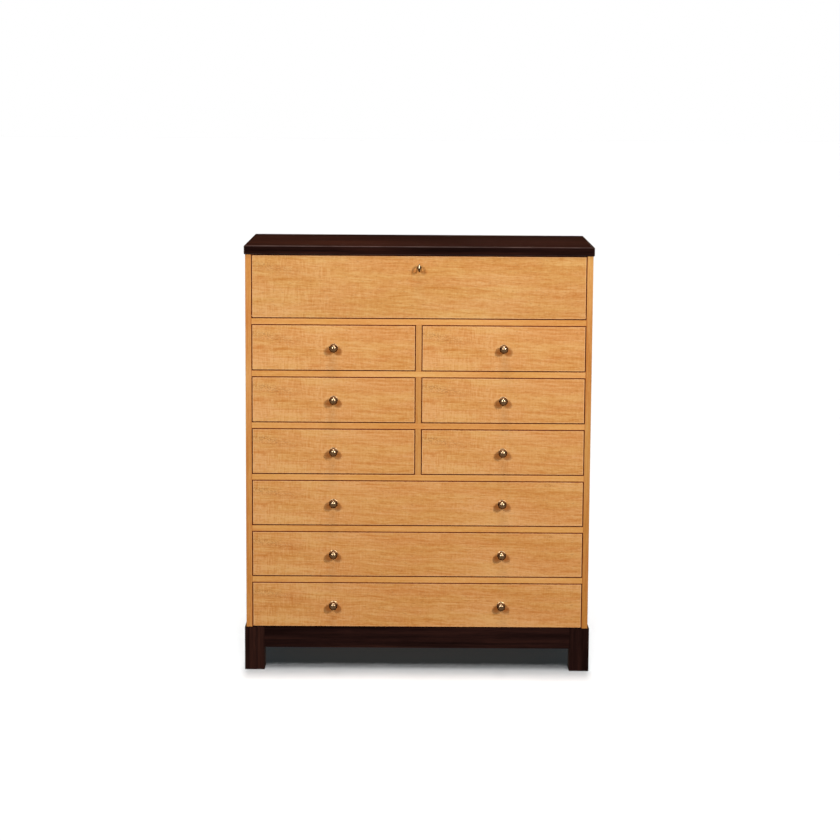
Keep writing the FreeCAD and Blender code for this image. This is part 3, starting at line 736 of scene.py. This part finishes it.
def knobProfile(low, high, look):
    ball = (high.z - low.z) / 2.0
    centreY = low.y + ball
    neckAngle = math.acos(look["neckRadius"] * 1.25 / ball) + math.pi / 2.0
    profile = [(low.y, 0.0)]
    for step in range(1, look["ballSteps"] + 1):
        angle = neckAngle * step / look["ballSteps"]
        profile.append((centreY - ball * math.cos(angle), ball * math.sin(angle)))
    ballEnd = profile[-1][0]
    roseY = frontY - look["roseLength"]
    beadMiddle = roseY - look["beadLength"] * 0.6
    coveMiddle = (ballEnd + beadMiddle) / 2.0
    bevel = look["bevel"]
    profile += [
        (coveMiddle - 0.4 * millimetre, look["neckRadius"]),
        (coveMiddle + 0.2 * millimetre, look["neckRadius"]),
        (beadMiddle - look["beadLength"] * 0.45, look["neckRadius"] * 1.12),
        (beadMiddle - look["beadLength"] * 0.25, look["beadRadius"] - bevel * 0.5),
        (beadMiddle, look["beadRadius"]),
        (beadMiddle + look["beadLength"] * 0.25, look["beadRadius"] - bevel * 0.5),
        (roseY, look["beadRadius"]),
    ]
    # the rose falls away from its flat middle to a thin square edge
    coneHeight = look["roseLength"] - look["roseEdge"]
    for step in range(look["coneSteps"] + 1):
        share = step / look["coneSteps"]
        drop = share - look["coneBulge"] * math.sin(math.pi * share) * 0.5
        radius = look["roseLand"] + (look["roseRadius"] - look["roseLand"]) * share
        profile.append((roseY + coneHeight * drop, radius))
    profile += [
        (frontY - 0.05 * millimetre, look["roseRadius"]),
        (frontY - 0.05 * millimetre, look["shankRadius"]),
        (high.y - look["endBevel"], look["shankRadius"]),
        (high.y, look["shankRadius"] - look["endBevel"]),
        (high.y, 0.0),
    ]
    return profile, ball


def makeKnobs():
    count = 0
    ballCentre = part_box("drawer_6_knobs")[0].y + knobLook["ballRadius"]
    patinaAndShade = (ballCentre - brassLook["patinaAndShadeFront"], ballCentre - brassLook["patinaAndShadeFull"])
    knobFinish = agedBrass("knobBrass", brassLook, brassLook["roughness"], patinaAndShade)
    for nodeName in sorted(nodes):
        if not nodeName.endswith(("_knob", "_knobs")):
            continue
        low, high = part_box(nodeName)
        profile, ball = knobProfile(low, high, knobLook)
        z = (low.z + high.z) / 2.0
        places = [low.x + ball, high.x - ball] if nodeName.endswith("s") else [(low.x + high.x) / 2.0]
        mesh = bmesh.new()
        for x in places:
            lathe(mesh, profile, x, z, knobLook["segments"])
        drawerName = nodeName.rsplit("_", 1)[0]
        finishMesh("turnedKnob." + drawerName, mesh, knobFinish, drawerName, (nodeName,))
        count += len(places)
    print("knobs turned:", count)


makeKnobs()


# key: a bow of round wire seen edge-on, a beaded neck, a collar and a bit

keyLook = {
    "wireRadius": 2.75 * millimetre,
    "shankRadius": 2.0 * millimetre,
    "beadRadius": 2.8 * millimetre,
    "beadLength": 1.8 * millimetre,
    "collarRadius": 3.0 * millimetre,
    "collarLength": 2.0 * millimetre,
    "collarOut": 4.6 * millimetre,               # front of the collar, before the face of the fall
    "rounding": 0.5 * millimetre,
    "bitThickness": 2.0 * millimetre,
    "bitWidth": 4.0 * millimetre,
    "bitReach": 6.0 * millimetre,
    "bitDepth": 5.5 * millimetre,                # middle of the bit, before the back of the fall
    "bitBevel": 0.3 * millimetre,
    "segments": 96,
    "sides": 32,
}


def makeKey(look):
    low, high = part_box("key")
    bow = (high.z - low.z) / 2.0
    middle = Vector(((low.x + high.x) / 2.0, low.y + bow, low.z + bow))
    mesh = bmesh.new()
    bendRing(mesh, middle, bow - look["wireRadius"], look["wireRadius"], look["segments"], look["sides"])
    rounding = look["rounding"]
    shank = look["shankRadius"]
    bowEnd = middle.y + bow
    beadEnd = bowEnd + look["beadLength"]
    collarStart = frontY - look["collarOut"]
    collarEnd = collarStart + look["collarLength"]
    profile = [
        (bowEnd - look["wireRadius"], 0.0),
        (bowEnd - look["wireRadius"], shank),
        (bowEnd, shank),
        (bowEnd + rounding, look["beadRadius"]),
        (beadEnd - rounding, look["beadRadius"]),
        (beadEnd, shank),
        (collarStart, shank),
        (collarStart, look["collarRadius"] - rounding),
        (collarStart + rounding, look["collarRadius"]),
        (collarEnd - rounding, look["collarRadius"]),
        (collarEnd, look["collarRadius"] - rounding),
        (collarEnd, shank),
        (high.y - rounding, shank),
        (high.y, shank - rounding),
        (high.y, 0.0),
    ]
    lathe(mesh, profile, middle.x, middle.z, look["sides"])
    # the bit, a small flag under the shank's end
    bitY = frontBackY - look["bitDepth"]
    bit = bmesh.ops.create_cube(mesh, size=1.0)["verts"]
    bmesh.ops.scale(mesh, vec=(look["bitThickness"], look["bitWidth"], look["bitReach"]), verts=bit)
    bmesh.ops.translate(mesh, vec=(middle.x, bitY, middle.z - look["bitReach"] / 2.0), verts=bit)
    edges = {edge for vertex in bit for edge in vertex.link_edges}
    bmesh.ops.bevel(mesh, geom=list(edges), offset=look["bitBevel"], segments=2, affect="EDGES")
    finishMesh("turnedKey", mesh, keyFinish, "key", ("key",), 50.0)
    print("key made")


makeKey(keyLook)


# camera, lights and floor

cameraLook = {
    "place": (-0.0085, -7.7634, 1.9125),
    "lens": 102.114,
    "tiltDown": 8.300,                           # degrees
    "turn": 0.106,
    "roll": 0.368,
    "farthest": 100.0,
}

lightLook = {
    "leftPower": 278.0,
    "rightPower": 362.0,
    "keySize": (0.65, 1.25),
    "keyDistance": 7.0,
    "keyHeight": 26.0,                           # degrees above the middle of the case
    "leftAngle": 31.0,                           # degrees out from straight ahead
    "rightAngle": 36.0,
    "aim": (0.0, frontY, 0.80),
    "overheadPower": 70.0,
    "overheadSize": (1.2, 0.6),
    "overheadPlace": (0.0, -1.1, 4.2),
    "rearPower": 190.0,
    "rearSize": (1.6, 1.6),
    "rearPlace": (0.8, 6.0, 2.6),
    "rearAim": 0.7,                              # height that the rear light points at
    # floor light: strength, degrees it leans to the front, and its spread in degrees
    "floorSteps": [(0.19, -5.6, 1.6), (0.19, -4.2, 1.6), (0.19, -2.8, 1.6), (0.19, -1.4, 1.6),
                   (0.21, 8.0, 8.0), (0.30, 24.0, 11.0), (0.29, 46.0, 16.0)],
    "floorGain": 2.82,
    "fill": 0.07,
    "fillColour": (1.0, 0.82, 0.66, 1.0),
    "glint": 0.32,                               # what polished brass sees below the horizon
    "glintAbove": 0.012,
    "horizon": (-0.12, 0.06),                    # where the glint fades out
}

floorLook = {
    "halfSize": 60.0,
    "dark": (0.76, 0.76, 0.76),
    "light": (0.80, 0.80, 0.80),
    "roughness": 0.9,
    "specular": 0.1,
    "glow": (0.08, 0.64, 1.0, 1.0),              # cools the shade under the chest
    "glowStrength": 0.020,
}


def makeCamera(look):
    data = bpy.data.cameras.new("viewCamera")
    data.lens = look["lens"]
    data.clip_end = look["farthest"]
    camera = bpy.data.objects.new("viewCamera", data)
    camera.location = look["place"]
    aim = Euler((math.radians(90.0 - look["tiltDown"]), 0.0, -math.radians(look["turn"]))).to_quaternion()
    camera.rotation_mode = "QUATERNION"
    camera.rotation_quaternion = aim @ Quaternion((0.0, 0.0, 1.0), math.radians(look["roll"]))
    bpy.context.scene.collection.objects.link(camera)
    bpy.context.scene.camera = camera


def addBox(name, size, power, place, back):
    # an area light that shines against the direction back
    data = bpy.data.lights.new(name, "AREA")
    data.shape = "RECTANGLE"
    data.size, data.size_y = size
    data.energy = power
    lamp = bpy.data.objects.new(name, data)
    lamp.location = place
    lamp.rotation_euler = back.to_track_quat("Z", "Y").to_euler()
    bpy.context.scene.collection.objects.link(lamp)
    return lamp


def makeSoftbox(name, side, angle, power, look):
    turn = math.radians(angle)
    rise = math.radians(look["keyHeight"])
    back = Vector((side * math.sin(turn) * math.cos(rise), -math.cos(turn) * math.cos(rise), math.sin(rise)))
    place = Vector(look["aim"]) + back * look["keyDistance"]
    return addBox(name, look["keySize"], power, place, back)


def makeLights(look):
    keys = [makeSoftbox("softboxLeft", -1.0, look["leftAngle"], look["leftPower"], look),
            makeSoftbox("softboxRight", 1.0, look["rightAngle"], look["rightPower"], look)]
    for name, low in (("overhead", sideHigh.z), ("rear", look["rearAim"])):
        place = Vector(look[name + "Place"])
        keys.append(addBox(name + "Box", look[name + "Size"], look[name + "Power"], place,
                           place - Vector((0.0, 0.0, low))))
    keys[-1].visible_glossy = False              # the rear light makes no glare on the slab

    washes = []
    for index, (share, lean, spread) in enumerate(look["floorSteps"]):
        data = bpy.data.lights.new("floorWash", "SUN")
        data.energy = share * look["floorGain"]
        data.angle = math.radians(spread)
        wash = bpy.data.objects.new("floorWash%d" % index, data)
        wash.rotation_euler = (math.radians(lean), 0.0, 0.0)
        bpy.context.scene.collection.objects.link(wash)
        washes.append(wash)

    world = bpy.data.worlds.new("studio")
    world.use_nodes = True
    tree = world.node_tree
    tree.nodes.clear()
    path = addNode(tree, "ShaderNodeLightPath")
    upward = addNode(tree, "ShaderNodeSeparateXYZ", {
        0: addNode(tree, "ShaderNodeTexCoord").outputs["Generated"]}).outputs[2]
    below = remap(tree, upward, *look["horizon"], 1.0, 0.0)
    glossy = calc(tree, "MULTIPLY_ADD", below, look["glint"], look["glintAbove"])
    strength = addNode(tree, "ShaderNodeMix", {
        0: path.outputs["Is Glossy Ray"], 2: look["fill"], 3: glossy}, data_type="FLOAT").outputs[0]
    dim = addNode(tree, "ShaderNodeBackground", {"Color": look["fillColour"], "Strength": strength})
    white = addNode(tree, "ShaderNodeBackground", {"Color": (1.0, 1.0, 1.0, 1.0), "Strength": 1.0})
    mix = addNode(tree, "ShaderNodeMixShader", {
        0: path.outputs["Is Camera Ray"], 1: dim.outputs[0], 2: white.outputs[0]})
    addNode(tree, "ShaderNodeOutputWorld", {0: mix.outputs[0]})
    bpy.context.scene.world = world
    bpy.context.scene.view_settings.view_transform = "Standard"
    return keys, washes


def makeFloor(look):
    mesh = bmesh.new()
    bmesh.ops.create_grid(mesh, x_segments=8, y_segments=8, size=look["halfSize"])
    data = bpy.data.meshes.new("studioFloor")
    mesh.to_mesh(data)
    mesh.free()
    floor = bpy.data.objects.new("studioFloor", data)
    bpy.context.scene.collection.objects.link(floor)
    material, tree = newMaterial("paleFloor")
    space = boardSpace(tree, "x")[0]
    cloud = noise(tree, space, (3.0, 3.0, 3.0), 3.0)
    colour = ramp(tree, cloud, [(0.3, look["dark"]), (0.7, look["light"])])
    shader = addNode(tree, "ShaderNodeBsdfPrincipled", {
        "Base Color": colour, "Roughness": look["roughness"], "Specular IOR Level": look["specular"],
        "Emission Color": look["glow"], "Emission Strength": look["glowStrength"]})
    endMaterial(tree, shader)
    data.materials.append(material)
    floor.visible_glossy = False                 # brass and wood neither mirror the floor nor take its light
    floor.visible_diffuse = False
    return floor


makeCamera(cameraLook)
keyLights, floorLights = makeLights(lightLook)
floorPiece = makeFloor(floorLook)

# the boxes light the chest alone and the washes the floor alone, so the floor keeps one soft shadow
chestOnly = bpy.data.collections.new("chestOnly")
floorOnly = bpy.data.collections.new("floorOnly")
for piece in bpy.context.scene.collection.all_objects:
    if piece.type == "MESH":
        (floorOnly if piece == floorPiece else chestOnly).objects.link(piece)
for light in keyLights:
    light.light_linking.receiver_collection = chestOnly
for light in floorLights:
    light.light_linking.receiver_collection = floorOnly
print("camera, lights and floor placed")
